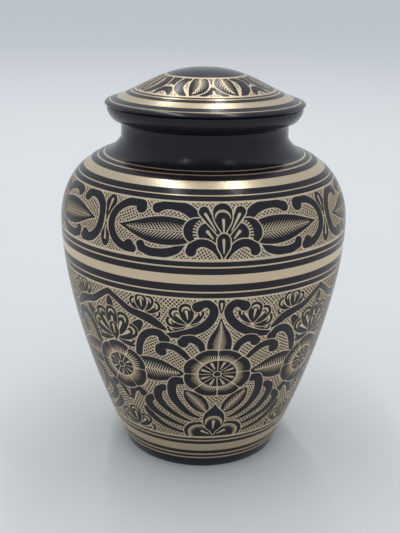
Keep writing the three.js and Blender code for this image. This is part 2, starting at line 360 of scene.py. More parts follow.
def scroll(panel, places, half_widths, outline=0.5, head=None):
    """A black band along a line, with a round head if one is given as its place and radius."""
    heads = [head] if head else []
    margin = 2.0
    reach = max(list(half_widths) + [radius for _, radius in heads]) + margin
    window, p, _ = panel.window(list(places) + [place for place, _ in heads], reach)
    whole = np.full(p.shape, FAR_OUTSIDE)
    part, inside = ribbon(panel, places, half_widths, margin)[:2]
    blend_in(whole, window, part, inside)
    for place, radius in heads:
        part, inside = disc(panel, place, radius, margin)
        blend_in(whole, window, part, inside)
    panel.lay(window, whole, outline)


def stroke(panel, places, half_widths):
    window, inside = ribbon(panel, places, half_widths)[:2]
    panel.cut(window, inside)


def feathered(panel, places, half_widths, reach=0.66, pitch=1.9, slope=1.0, share=0.72, stop=0.86,
              outline=0.6, midrib=0.3, gap=0.3):
    """A leaf with a midrib and pointed barbs that lean towards its tip."""
    window, inside, along, side, length, half = ribbon(panel, places, half_widths)
    panel.lay(window, inside, outline)
    across = np.abs(side)
    room = np.minimum(np.minimum(reach * half - across, stop * length - along), across - midrib - gap)
    taper = np.clip(1.05 - across / np.maximum(reach * half, 0.1), 0.0, 1.0)
    barbs = stripes(along - across * slope, pitch, share * taper) / math.hypot(1, slope)
    panel.cut(window, np.minimum(room, barbs))
    if midrib > 0:
        panel.cut(window, np.minimum(midrib - across, np.minimum(0.88 * length - along, along + 0.5)))


def crescent(panel, place, outer, inner, shift):
    """A combed bright crescent, a disc less a smaller disc shifted from it, whose teeth point inwards."""
    window, p, q = panel.window([place], outer + 1.5)
    dx, dy = panel.offsets(place, p, q)
    hole_x, hole_y = panel.offsets((place[0] + shift[0], place[1] + shift[1]), p, q)
    rim = outer - np.hypot(dx, dy)
    moon = np.minimum(rim, np.hypot(hole_x, hole_y) - inner)
    comb = stripes(np.arctan2(dx, dy) * outer, COMB_PITCH, np.clip(1.05 - 0.28 * rim, 0.2, 1.0))
    panel.cut(window, np.minimum(moon, comb))


def rosette(panel, place, radius_across, radius_up, lobes, turn, inner, teeth):
    """A round flower: lobed rim, combed ring, spokes, and short strokes round its eye."""
    size = (radius_across + radius_up) / 2
    window, p, q = panel.window([place], max(radius_across, radius_up) + 2)
    dx, dy = panel.offsets(place, p, q)
    rho = np.hypot(dx / radius_across, dy / radius_up)
    phi = np.arctan2(dy / radius_up, dx / radius_across) - turn
    lobe = np.abs(np.sin(phi * lobes / 2))
    edge = 0.925 + 0.075 * lobe ** 0.6
    panel.lay(window, (edge - rho) * size, 0.65)
    rim = 0.76 + 0.07 * lobe
    taper = np.clip(1.1 - (rho - inner) / (rim - inner), 0.0, 1.0)
    comb = stripes(phi, 2 * math.pi / teeth, 0.8 * taper) * size * rho
    ring = np.minimum(rim - rho, rho - inner - 0.02) * size
    panel.cut(window, np.minimum(ring, comb))
    panel.cut(window, 0.36 - np.abs(rho - inner) * size)
    step = 2 * math.pi / lobes
    from_spoke = np.abs((phi / step + 0.5) % 1 - 0.5) * step * rho * size
    panel.cut(window, np.minimum(0.26 - from_spoke, np.minimum(rho - 0.15, edge - rho) * size))
    from_middle = np.abs((phi / step) % 1 - 0.5) * step * rho * size
    half = np.interp(rho, [0.2, 0.45], [0.2, 0.75])
    panel.cut(window, np.minimum(half - from_middle, np.minimum(rho - 0.2, inner - rho - 0.06) * size))
    panel.cut(window, 0.34 - np.abs(rho - 0.12) * size)


def fan(panel, base, petals):
    """Petals that fan out from a base, later ones on top.

    Each is an angle from upright, a length and a half width.
    """
    for angle, length, half in petals:
        across = math.sin(math.radians(angle)) / panel.breadth(base[1])
        up = math.cos(math.radians(angle)) / panel.height
        start, tip, mark_start, mark_end = (
            (base[0] + across * reach, base[1] + up * reach)
            for reach in (0.12 * length, length - half, 0.3 * length, 0.66 * length))
        scroll(panel, [start, tip], [0.5, 0.6 * half, 0.95 * half, half])
        crescent(panel, tip, 0.58 * half, 0.54 * half, (-0.36 * half * across, -0.36 * half * up))
        stroke(panel, [mark_start, mark_end], [0.22, 0.2 * half])


def ground(panel, patches, pitch, groove):
    """Crossed cuts that leave small dark lozenges; each patch has two directions of its own."""
    p, q = np.meshgrid(panel.across, panel.up)
    nearest = np.full(p.shape, np.inf)
    for place, first, second in patches:
        x, y = panel.offsets(place, p, q)
        away = np.hypot(x, y)
        lozenge = np.full(p.shape, FAR_INSIDE)
        for angle in (math.radians(first), math.radians(second)):
            cuts = stripes(x * math.sin(angle) - y * math.cos(angle), pitch, groove / pitch)
            lozenge = np.minimum(lozenge, -cuts)
        panel.black = np.where(away < nearest, lozenge, panel.black)
        nearest = np.minimum(nearest, away)


def clear_edges(panel):
    """Keeps the lacquer clear of the band's two bright borders."""
    up = panel.up[:, None] * panel.height
    panel.black = np.minimum(panel.black, np.minimum(up, panel.height - up) - EDGE_MARGIN)


# Shoulder band

def shoulder_palmette(panel):
    window, inside = ribbon(panel, [(0.10, 0.47), (0.215, 0.49)], [7.9, 7.2])[:2]
    panel.lay(window, inside, 0.65)
    lobe = [(0.075, 0.44), (0.135, 0.47)]
    window, core = ribbon(panel, lobe, [4.6, 4.9], margin=5)[:2]
    p, q = panel.window(spline(lobe, [4.6, 4.9])[0], 9.9)[1:]
    dx, dy = panel.offsets((0.105, 0.45), p, q)
    angle = np.arctan2(dy, dx)
    facing = np.where((angle > -0.35) & (angle < 2.4), FAR_INSIDE, -FAR_INSIDE)
    comb = stripes(angle * 6.6, COMB_PITCH, 0.5)
    panel.cut(window, np.minimum(np.minimum(-core - 0.5, core + 2.9), np.minimum(facing, comb)))
    panel.cut(window, np.minimum(facing, 0.28 - np.abs(core + 0.45)))
    stroke(panel, [(0.085, 0.37), (0.132, 0.49)], [0.35, 0.9])
    # slim petal, then the upright one
    scroll(panel, [(0.03, 0.42), (0.09, 0.62), (0.152, 0.84)], [0.7, 1.9, 2.9], 0.65)
    stroke(panel, [(0.065, 0.5), (0.14, 0.79)], [0.28, 0.8])
    scroll(panel, [(0.0, 0.42), (0.0, 0.83)], [0.8, 1.8, 3.6, 5.0, 5.2], 0.65)
    crescent(panel, (0.0, 0.735), 4.3, 4.0, (0.0, -0.045))
    stroke(panel, [(0.0, 0.68), (0.0, 0.45)], [0.85, 0.35])
    # scroll at the palmette's foot, and the bud between the two
    scroll(panel, [(0.025, 0.0), (0.06, 0.17), (0.12, 0.27), (0.19, 0.285), (0.25, 0.2)],
           [0.6, 1.7, 2.1, 2.2, 2.6], 0.65, head=((0.252, 0.145), 3.0))
    scroll(panel, [(0.0, 0.02), (0.0, 0.335)], [0.3, 1.2, 2.4, 3.5, 3.7], 0.7)
    stroke(panel, [(0.0, 0.345), (0.0, 0.12)], [0.8, 0.3])


def shoulder_ornament(panel):
    ground(panel, [((0.10, 0.95), 60, -45), ((0.28, 0.9), 35, -50), ((0.42, 0.78), 55, -35),
                   ((0.6, 0.78), 50, -40), ((0.78, 0.74), 60, -30), ((0.83, 0.4), 50, -50),
                   ((0.55, 0.22), 30, -50), ((0.7, 0.12), 45, -40), ((0.12, 0.06), 60, -35),
                   ((0.34, 0.06), 50, -30), ((0.9, 0.96), 45, -60), ((0.92, 0.06), 45, -60)],
           pitch=1.6, groove=0.57)
    # two petals end to end on the border between two panels
    scroll(panel, [(1.0, 0.52), (1.0, 0.93)], [0.4, 0.8, 2.2, 3.6, 3.6, 2.4], 0.55)
    stroke(panel, [(1.0, 0.9), (1.0, 0.68)], [0.8, 0.3])
    scroll(panel, [(1.0, 0.48), (1.0, 0.11)], [0.4, 0.8, 1.8, 3.0, 3.0, 2.0], 0.55)
    stroke(panel, [(1.0, 0.2), (1.0, 0.42)], [0.75, 0.3])
    # scroll that faces the leaf's tip: most of a circle
    middle, radius = (0.755, 0.52), 12.9
    arc = [(middle[0] + radius * math.cos(angle) / panel.breadth(0.5),
            middle[1] + radius * math.sin(angle) / panel.height)
           for angle in np.radians(np.linspace(112, -98, 12))]
    widths = [2.5, 2.4, 2.3, 2.2, 2.3, 2.4, 2.5]
    scroll(panel, arc, widths, 0.6, head=((0.69, 0.855), 3.2))
    scroll(panel, arc[-3:], widths[-3:], 0.6, head=((0.758, 0.165), 3.0))
    scroll(panel, arc, widths, 0.0)
    # arms above and below the leaf, then the leaf
    scroll(panel, [(0.2, 0.7), (0.27, 0.85), (0.36, 0.925), (0.46, 0.935), (0.54, 0.89)],
           [2.6, 3.0, 2.7, 2.3, 2.5], 0.6, head=((0.55, 0.872), 2.9))
    scroll(panel, [(0.32, 0.27), (0.37, 0.15), (0.47, 0.085), (0.58, 0.085), (0.65, 0.14)],
           [1.5, 2.2, 2.5, 2.4, 2.4], 0.6, head=((0.655, 0.2), 2.5))
    feathered(panel, [(0.27, 0.468), (0.87, 0.505)], [5.2, 7.0, 7.7, 7.7, 7.0, 5.6, 3.8, 1.9, 0.1])
    shoulder_palmette(panel)


# Lower band

def border_column(panel):
    """Bud and tulip on the border between two panels, with a palmette and a hook at its foot."""
    scroll(panel, [(1.0, 0.9), (1.0, 0.955)], [2.6, 2.2, 1.2, 0.2])
    scroll(panel, [(0.7, 0.822), (0.74, 0.79), (0.765, 0.755)], [2.2, 3.2, 2.4], 0.5)
    scroll(panel, [(0.9, 0.672), (0.84, 0.69), (0.80, 0.665)], [0.6, 1.8, 2.6], 0.45)
    scroll(panel, [(0.975, 0.69), (0.92, 0.728), (0.85, 0.735), (0.79, 0.712)], [0.6, 1.9, 2.3, 2.0], 0.45)
    fan(panel, (1.0, 0.675), [(-84, 17.5, 4.4), (-56, 20.0, 4.9), (-28, 21.5, 4.8), (0, 21.5, 4.4)])
    scroll(panel, [(1.0, 0.665), (1.0, 0.755)], [0.4, 1.8, 3.4, 3.2], 0.6)
    stroke(panel, [(1.0, 0.765), (1.0, 0.71)], [0.9, 0.3])
    fan(panel, (1.0, 0.0), [(-72, 13.5, 4.4), (-38, 16.0, 4.4), (0, 18.0, 4.4)])
    scroll(panel, [(0.79, 0.312), (0.84, 0.338), (0.92, 0.315), (0.975, 0.24)], [2.4, 2.4, 2.3, 1.3],
           head=((0.788, 0.31), 3.0))


def volutes(panel):
    """The two volutes under the upper border, what grows in them, and the wavy arms beside them."""
    fan(panel, (0.27, 0.835), [(-98, 9.0, 3.2), (100, 12.5, 3.6), (-62, 11.5, 3.6), (74, 13.5, 4.0),
                               (-30, 13.5, 3.9), (44, 14.5, 4.1), (8, 14.5, 4.2)])
    fan(panel, (0.665, 0.895), [(-88, 11.0, 3.3), (70, 10.5, 3.0), (-58, 12.5, 3.7), (38, 11.0, 3.4),
                                (-26, 12.0, 3.7), (6, 11.5, 3.6)])
    scroll(panel, [(0.47, 0.803), (0.54, 0.832), (0.61, 0.86), (0.7, 0.878), (0.79, 0.893), (0.87, 0.925),
                   (0.95, 0.96), (1.02, 0.985)], [1.0, 2.4, 2.8, 2.4, 2.2, 2.0, 1.9, 1.9], 0.55)
    scroll(panel, [(0.18, 0.966), (0.11, 0.975), (0.06, 0.935), (0.085, 0.875), (0.155, 0.826), (0.25, 0.793),
                   (0.35, 0.773), (0.44, 0.766)], [2.5, 2.4, 2.5, 2.7, 2.8, 2.6, 2.3, 1.6], 0.55,
           head=((0.195, 0.955), 3.2))
    scroll(panel, [(0.0, 0.985), (0.0, 0.915)], [1.9, 1.9, 1.2, 0.4], 0.45)
    stroke(panel, [(0.0, 0.975), (0.0, 0.935)], [0.7, 0.25])


def leaves(panel):
    """Hooks and leaves round the middle rosette."""
    scroll(panel, [(0.49, 0.748), (0.53, 0.773), (0.6, 0.773), (0.67, 0.742), (0.72, 0.69), (0.75, 0.62),
                   (0.765, 0.56)], [2.6, 2.6, 2.6, 2.5, 2.4, 2.1, 1.0], 0.6, head=((0.48, 0.735), 3.4))
    scroll(panel, [(0.14, 0.668), (0.17, 0.715), (0.235, 0.746), (0.3, 0.742)], [1.6, 2.2, 2.5, 2.6], 0.55,
           head=((0.318, 0.722), 3.2))
    scroll(panel, [(0.265, 0.612), (0.325, 0.653), (0.4, 0.685), (0.485, 0.69), (0.535, 0.67)],
           [1.6, 2.1, 2.3, 2.4, 2.6], 0.55, head=((0.527, 0.65), 3.5))
    feathered(panel, [(0.0, 0.672), (0.0, 0.89)], [5.8, 7.0, 6.5, 4.6, 2.7, 1.3, 0.1], reach=0.72, pitch=1.6,
              slope=1.6, share=0.7, stop=0.84, midrib=0.25, gap=0.1)
    feathered(panel, [(0.765, 0.517), (0.31, 0.51)], [6.2, 8.4, 8.6, 7.2, 5.0, 2.6, 0.1], reach=0.74,
              pitch=1.6, slope=0.4, share=0.62, stop=0.85, midrib=0.3, gap=0.0)
    feathered(panel, [(0.095, 0.218), (0.33, 0.388)], [1.4, 4.3, 5.3, 4.9, 3.0, 0.1], reach=0.72,
              pitch=1.5, slope=1.4, share=0.7, stop=0.9, midrib=0.25, gap=0.05)


def feathers(panel):
    """Long feathers that sweep down to the lotus, from the outermost in."""
    scroll(panel, [(0.79, 0.192), (0.768, 0.152), (0.7, 0.114), (0.61, 0.078), (0.51, 0.053), (0.41, 0.038),
                   (0.33, 0.028)], [2.3, 2.6, 2.3, 1.8, 1.5, 1.2, 0.7])
    scroll(panel, [(0.69, 0.295), (0.735, 0.265), (0.73, 0.22), (0.67, 0.178), (0.58, 0.144), (0.48, 0.116),
                   (0.39, 0.096), (0.31, 0.084)], [2.6, 2.8, 2.8, 2.5, 2.1, 1.7, 1.3, 0.7])
    scroll(panel, [(0.545, 0.388), (0.6, 0.363), (0.61, 0.31), (0.573, 0.257), (0.51, 0.212), (0.43, 0.178),
                   (0.34, 0.15), (0.27, 0.135)], [2.6, 2.8, 2.8, 2.6, 2.2, 1.8, 1.3, 0.7])
    scroll(panel, [(0.36, 0.455), (0.425, 0.45), (0.457, 0.4), (0.445, 0.335), (0.4, 0.275), (0.33, 0.222),
                   (0.25, 0.186), (0.17, 0.165)], [2.8, 2.9, 2.8, 2.7, 2.4, 2.1, 1.6, 0.8])


def lotus(panel):
    scroll(panel, [(0.05, 0.035), (0.18, 0.045)], [6.4, 8.8], 0.6)
    crescent(panel, (0.17, 0.04), 7.0, 5.6, (-0.035, -0.018))
    stroke(panel, [(0.05, 0.025), (0.135, 0.05)], [0.3, 1.0])
    scroll(panel, [(0.0, 0.02), (0.0, 0.275)], [0.4, 1.8, 4.4, 6.4, 6.2, 4.2, 1.9, 0.1], 0.65)
    crescent(panel, (0.0, 0.128), 5.4, 4.5, (0.0, -0.021))
    stroke(panel, [(0.0, 0.135), (0.0, 0.07)], [1.0, 0.3])


def lower_ornament(panel):
    ground(panel, [((0.12, 0.8), 50, -40), ((0.2, 0.9), 50, -50), ((0.4, 0.98), 45, -45),
                   ((0.5, 0.92), 40, -60), ((0.25, 0.68), 50, -40), ((0.42, 0.6), 55, -35),
                   ((0.62, 0.66), 60, -30), ((0.7, 0.77), 45, -50), ((0.85, 0.9), 50, -40),
                   ((0.7, 0.4), 35, -60), ((0.5, 0.28), 60, -20), ((0.4, 0.36), 70, -15),
                   ((0.52, 0.12), 30, -60), ((0.62, 0.18), 35, -60), ((0.1, 0.28), 50, -40),
                   ((0.85, 0.27), 30, -60), ((0.6, 0.03), 20, -60), ((0.9, 0.62), 50, -50)],
           pitch=1.75, groove=0.58)
    border_column(panel)
    volutes(panel)
    leaves(panel)
    feathers(panel)
    lotus(panel)
    rosette(panel, (1.0, 0.488), 18.0, 17.4, lobes=6, turn=0.0, inner=0.5, teeth=54)
    rosette(panel, (0.0, 0.51), 20.6, 18.0, lobes=8, turn=math.pi / 2, inner=0.57, teeth=80)


# Lid band

def lid_ornament(panel):
    ground(panel, [((0.1, 0.55), 60, -40), ((0.16, 0.1), 50, -60), ((0.85, 0.8), 45, -50),
                   ((0.8, 0.12), 55, -45)], pitch=1.7, groove=0.8)
    scroll(panel, [(0.0, 1.0), (0.0, 0.8)], [3.6, 2.4], 0.9)
    scroll(panel, [(0.22, 0.02), (0.15, 0.2), (0.05, 0.33), (0.0, 0.34)], [1.6, 2.7, 3.0, 3.0], 0.9)
    stroke(panel, [(0.0, 0.1), (0.0, 0.27)], [0.4, 0.9])
    scroll(panel, [(1.0, 1.0), (0.98, 0.8), (0.92, 0.62)], [3.0, 2.4, 1.4], 0.9)
    scroll(panel, [(1.0, 0.33), (0.93, 0.3), (0.87, 0.18), (0.84, 0.02)], [2.4, 2.4, 1.8, 0.9], 0.9)
    scroll(panel, [(0.67, 0.95), (0.76, 0.7), (0.74, 0.42), (0.63, 0.16), (0.53, 0.03)],
           [2.2, 2.7, 2.7, 2.1, 1.0], 0.9, head=((0.65, 0.92), 2.4))
    feathered(panel, [(0.3, 0.97), (0.3, 0.6), (0.36, 0.28), (0.44, 0.03)],
              [3.6, 5.1, 5.7, 5.3, 4.0, 2.2, 0.3],
              reach=0.84, pitch=2.1, slope=1.2, share=0.72, stop=0.9, outline=0.9, midrib=0.45, gap=0.0)


# Outlines of the lacquer: from a field to loops, and from loops to triangles

def crossings(field):
    """Where a field changes sign between grid points: places by key, and the pairs that a cell joins."""
    rows, columns = field.shape
    inside = field > 0
    places = {}
    across = inside[:, :-1] != inside[:, 1:]
    for j, i in zip(*np.nonzero(across)):
        share = field[j, i] / (field[j, i] - field[j, i + 1])
        places[(0, j, i)] = (i + share, float(j))
    upward = inside[:-1] != inside[1:]
    for j, i in zip(*np.nonzero(upward)):
        share = field[j, i] / (field[j, i] - field[j + 1, i])
        places[(1, j, i)] = (float(i), j + share)
    links = {key: [] for key in places}
    touched = across[:-1] | across[1:] | upward[:, :-1] | upward[:, 1:]
    for j, i in zip(*np.nonzero(touched)):
        sides = [key for key in ((0, j, i), (1, j, i + 1), (0, j + 1, i), (1, j, i)) if key in places]
        if len(sides) == 4:
            middle = field[j:j + 2, i:i + 2].mean() > 0
            pairs = [(0, 1), (2, 3)] if middle == inside[j, i] else [(0, 3), (1, 2)]
        else:
            pairs = [(0, 1)]
        for a, b in pairs:
            links[sides[a]].append(sides[b])
            links[sides[b]].append(sides[a])
    return places, links


def chains(places, links):
    """The crossings in order, as open lines between the grid's sides and as closed loops."""
    left = set(places)
    ends = [key for key in places if len(links[key]) == 1]
    result = []
    for start in ends + list(places):
        if start not in left:
            continue
        left.discard(start)
        chain = [start]
        closed = len(links[start]) == 2
        while True:
            onward = [key for key in links[chain[-1]] if key in left]
            if not onward:
                break
            left.discard(onward[0])
            chain.append(onward[0])
        result.append((np.array([places[key] for key in chain]), closed))
    return result


def thinned(points, tolerance):
    """The points of a line that it needs to stay within a tolerance of itself."""
    keep = np.zeros(len(points), bool)
    keep[[0, -1]] = True
    stack = [(0, len(points) - 1)]
    while stack:
        first, last = stack.pop()
        if last - first < 2:
            continue
        a, b = points[first], points[last]
        between = points[first + 1:last] - a
        run = b - a
        size = math.hypot(*run)
        if size < 1e-9:
            away = np.hypot(*between.T)
        else:
            away = np.abs(run[0] * between[:, 1] - run[1] * between[:, 0]) / size
        far = int(away.argmax())
        if away[far] > tolerance:
            middle = first + 1 + far
            keep[middle] = True
            stack += [(first, middle), (middle, last)]
    return keep


def contour_lines(panel):
    """The lacquer's outlines, thinned, in millimetres on the panel laid flat at its widest."""
    places, links = crossings(np.where(panel.black == 0, 1e-6, panel.black))
    flat = np.array([panel.widest / (len(panel.across) - 1), panel.height / (len(panel.up) - 1)])
    lines = []
    for points, closed in chains(places, links):
        points = points * flat
        if closed:
            if len(points) < SMALLEST_LOOP:
                continue
            far = int(np.hypot(*(points - points[0]).T).argmax())
            first = points[:far + 1]
            second = np.vstack([points[far:], points[:1]])
            first = first[thinned(first, CONTOUR_TOLERANCE)]
            second = second[thinned(second, CONTOUR_TOLERANCE)]
            points = np.vstack([first[:-1], second])
            if len(points) < 4:
                continue
        else:
            points = points[thinned(points, CONTOUR_TOLERANCE)]
        lines.append(points)
    return lines


def split_long(points):
    """The same line, with points added where an edge would leave the round surface."""
    pieces = []
    for a, b in zip(points[:-1], points[1:]):
        steps = max(1, math.ceil(math.hypot(*(b - a)) / LONGEST_EDGE))
        pieces.append(a + (b - a) * (np.arange(steps) / steps)[:, None])
    return np.vstack(pieces + [points[-1:]])


def sampled(panel, shares):
    """The field at some places, from the four grid points round each."""
    x = np.clip(shares[:, 0], 0, 1) * (len(panel.across) - 1)
    y = np.clip(shares[:, 1], 0, 1) * (len(panel.up) - 1)
    i = np.minimum(x.astype(int), len(panel.across) - 2)
    j = np.minimum(y.astype(int), len(panel.up) - 2)
    fx, fy = x - i, y - j
    f = panel.black
    return ((f[j, i] * (1 - fx) + f[j, i + 1] * fx) * (1 - fy)
            + (f[j + 1, i] * (1 - fx) + f[j + 1, i + 1] * fx) * fy)


def lacquer_triangles(panel):
    """The lacquered part of a half panel as triangles: shares of their corners, and corner numbers."""
    size = np.array([panel.widest, panel.height])
    points, edges = [], []
    for line in contour_lines(panel):
        line = split_long(line)
        closed = np.allclose(line[0], line[-1])
        if closed:
            line = line[:-1]
        start = len(points)
        count = len(line)
        points.extend(line)
        edges += [(start + k, start + (k + 1) % count) for k in range(count if closed else count - 1)]
    columns, rows = (np.arange(INNER_POINT_PITCH / 2, reach, INNER_POINT_PITCH) for reach in size)
    grid = np.stack(np.meshgrid(columns, rows), -1).reshape(-1, 2)
    points.extend(grid[sampled(panel, grid / size) > INNER_POINT_CLEARANCE])
    # along the two sides that meet the next half panel
    for side in (0.0, size[0]):
        points.extend((side, up) for up in np.arange(0.0, size[1] + 0.1, size[1] / SIDE_STEPS))
    found = delaunay_2d_cdt([Vector(point) for point in points], edges, [], 0, 1e-4, False)
    corners = np.array([tuple(corner) for corner in found[0]]) / size
    triangles = np.array([face for face in found[2] if len(face) == 3])
    middles = corners[triangles].mean(axis=1)
    triangles = triangles[sampled(panel, middles) > 0]
    a, b, c = (corners[triangles[:, k]] * size for k in range(3))
    area = (b[:, 0] - a[:, 0]) * (c[:, 1] - a[:, 1]) - (b[:, 1] - a[:, 1]) * (c[:, 0] - a[:, 0])
    large = np.abs(area) > SMALLEST_AREA
    triangles = triangles[large]
    turned_over = area[large] < 0
    triangles[turned_over] = triangles[turned_over][:, ::-1]
    used, renumbered = np.unique(triangles, return_inverse=True)
    return np.clip(corners[used], 0.0, 1.0), renumbered.reshape(-1, 3)


def rim_edges(triangles, corners):
    """Edges that only one triangle has, in its direction, less those on the half panel's two sides."""
    edges = np.vstack([triangles[:, [0, 1]], triangles[:, [1, 2]], triangles[:, [2, 0]]])
    key = np.sort(edges, axis=1)
    _, first, count = np.unique(key, axis=0, return_index=True, return_counts=True)
    rim = edges[first[count == 1]]
    across = corners[rim][:, :, 0]
    on_side = (across < SIDE_TOLERANCE).all(axis=1) | (across > 1 - SIDE_TOLERANCE).all(axis=1)
    return rim[~on_side]


def wavered(azimuth, distance, radius, band):
    """Moves places a little, as a hand's unevenness does, and not at all at the band's edges."""
    low, high = band
    share = np.clip((distance - low) / (high - low), 0.0, 1.0)
    ease = np.minimum(1.0, 5 * np.minimum(share, 1 - share))
    sway = 0.30 * np.sin(5 * azimuth + 0.13 * distance) + 0.18 * np.sin(13 * azimuth - 0.29 * distance + 1.0)
    lift = 0.26 * np.sin(7 * azimuth - 0.11 * distance + 2.0) + 0.15 * np.sin(17 * azimuth + 0.23 * distance)
    return azimuth + ease * sway / radius, distance + ease * lift


# Meshes

def make_piece(name, points, faces, face_materials, corner_normals, materials):
    """A mesh object from millimetre points, with a normal of its own at each corner of each face."""
    mesh = bpy.data.meshes.new(name)
    mesh.from_pydata((points * MM).tolist(), [], [list(face) for face in faces])
    for material in materials:
        mesh.materials.append(material)
    mesh.polygons.foreach_set("material_index", np.array(face_materials, np.int32))
    mesh.polygons.foreach_set("use_smooth", np.ones(len(faces), bool))
    mesh.normals_split_custom_set(corner_normals.tolist())
    mesh.update()
    piece = bpy.data.objects.new(name, mesh)
    bpy.context.scene.collection.objects.link(piece)
    return piece


def round_the_axis(radius, height, azimuth):
    return np.stack([radius * np.sin(azimuth), -radius * np.cos(azimuth), height], axis=-1)


def relief(name, outline, band, draw, materials):
    """The lacquer left standing in an engraved band: closed plates, in one piece for each panel."""
    panel = Panel(outline, band)
    draw(panel)
    clear_edges(panel)
    corners, triangles = lacquer_triangles(panel)
    rim = rim_edges(triangles, corners)
    pieces = []
    for number in range(PANELS):
        points, faces, face_materials, normals = [], [], [], []
        for run in (PANEL_WIDTH / 2, -PANEL_WIDTH / 2):
            azimuth = number * PANEL_WIDTH + corners[:, 0] * run
            distance = panel.low + corners[:, 1] * panel.height
            radius, _ = outline.place(distance)
            azimuth, distance = wavered(azimuth, distance, radius, band)
            top = round_the_axis(*outline.at(distance), azimuth)
            root = round_the_axis(*outline.at(distance, ROOT_DEPTH), azimuth)
            out = round_the_axis(*outline.normal(distance), azimuth)
            # the half that runs the other way is a mirror image, so its faces are turned about
            tops = triangles if run > 0 else triangles[:, ::-1]
            a, b = rim.T if run > 0 else rim[:, ::-1].T
            start = sum(len(block) for block in points)
            points += [top, root]
            roots = tops[:, ::-1] + len(corners)
            walls = np.stack([a + len(corners), b + len(corners), b, a], axis=1)
            wall_normals = np.cross(top[b] - top[a], out[a])
            wall_normals /= np.linalg.norm(wall_normals, axis=1)[:, None]
            faces += (tops + start).tolist() + (walls + start).tolist() + (roots + start).tolist()
            face_materials += [LACQUERED] * len(tops) + [BARE] * (len(walls) + len(roots))
            normals += [out[tops].reshape(-1, 3), np.repeat(wall_normals, 4, axis=0),
                        -out[tops[:, ::-1]].reshape(-1, 3)]
        pieces.append(make_piece(f"{name}_{number + 1}", np.vstack(points), faces, face_materials,
                                 np.vstack(normals), materials))
    return pieces


class Profile:
    """A turned profile, built up stretch by stretch, each with its material."""

    def __init__(self):
        self.points = []
        self.materials = []

    def add(self, points, material):
        for point in points:
            if self.points and math.dist(self.points[-1], point) < TOUCHING:
                continue
            if self.points:
                self.materials.append(material)
            self.points.append(tuple(float(value) for value in point))

    def corner_normals(self):
        """For each stretch, the outward normals at its start and end, shared across a gentle bend."""
        points = np.array(self.points)
        steps = np.diff(points, axis=0)
        flat = np.stack([steps[:, 1], -steps[:, 0]], axis=1)
        flat /= np.linalg.norm(flat, axis=1)[:, None]
        starts, ends = flat.copy(), flat.copy()
        for k in range(len(flat) - 1):
            if flat[k] @ flat[k + 1] > math.cos(CREASE):
                shared = flat[k] + flat[k + 1]
                ends[k] = starts[k + 1] = shared / np.linalg.norm(shared)
        return starts, ends


def turn(name, profile, segments, materials):
    """A closed solid of revolution from a profile that starts and ends on the axis."""
    azimuth = np.linspace(0.0, 2 * math.pi, segments + 1)[:-1]
    after = np.roll(np.arange(segments), -1)
    rings, points = [], []
    for radius, height in profile.points:
        start = sum(len(block) for block in points)
        if radius < TOUCHING:
            points.append(np.array([[0.0, 0.0, height]]))
            rings.append(np.full(segments, start))
        else:
            points.append(round_the_axis(np.full(segments, radius), np.full(segments, height), azimuth))
            rings.append(start + np.arange(segments))
    starts, ends = profile.corner_normals()
    faces, face_materials, normals = [], [], []
    for k, material in enumerate(profile.materials):
        low, high = rings[k], rings[k + 1]
        low_normal, high_normal = (round_the_axis(np.full(segments, n[0]), np.full(segments, n[1]), azimuth)
                                   for n in (starts[k], ends[k]))
        corner_sets = [(low, low_normal, False), (low, low_normal, True), (high, high_normal, True),
                       (high, high_normal, False)]
        if profile.points[k][0] < TOUCHING:
            del corner_sets[0]
        elif profile.points[k + 1][0] < TOUCHING:
            del corner_sets[3]
        picks = [after if ahead else np.arange(segments) for _, _, ahead in corner_sets]
        faces += np.stack([ring[pick] for (ring, _, _), pick in zip(corner_sets, picks)], axis=1).tolist()
        normals.append(np.stack([normal[pick] for (_, normal, _), pick in zip(corner_sets, picks)],
                                axis=1).reshape(-1, 3))
        face_materials += [material] * segments
    return make_piece(name, np.vstack(points), faces, face_materials, np.vstack(normals), materials)


def ringed(profile, outline, start, end, rings, pitch):
    """A lacquered stretch of an outline with rings turned into it: each is from, to, depth and material."""
    at = start
    for low, high, depth, material in rings:
        profile.add(outline.stretch(at, low, pitch), BLACK)
        profile.add(outline.stretch(low, high, pitch, depth), material)
        profile.add([outline.at(high)], material)
        at = high
    profile.add(outline.stretch(at, end, pitch), BLACK)


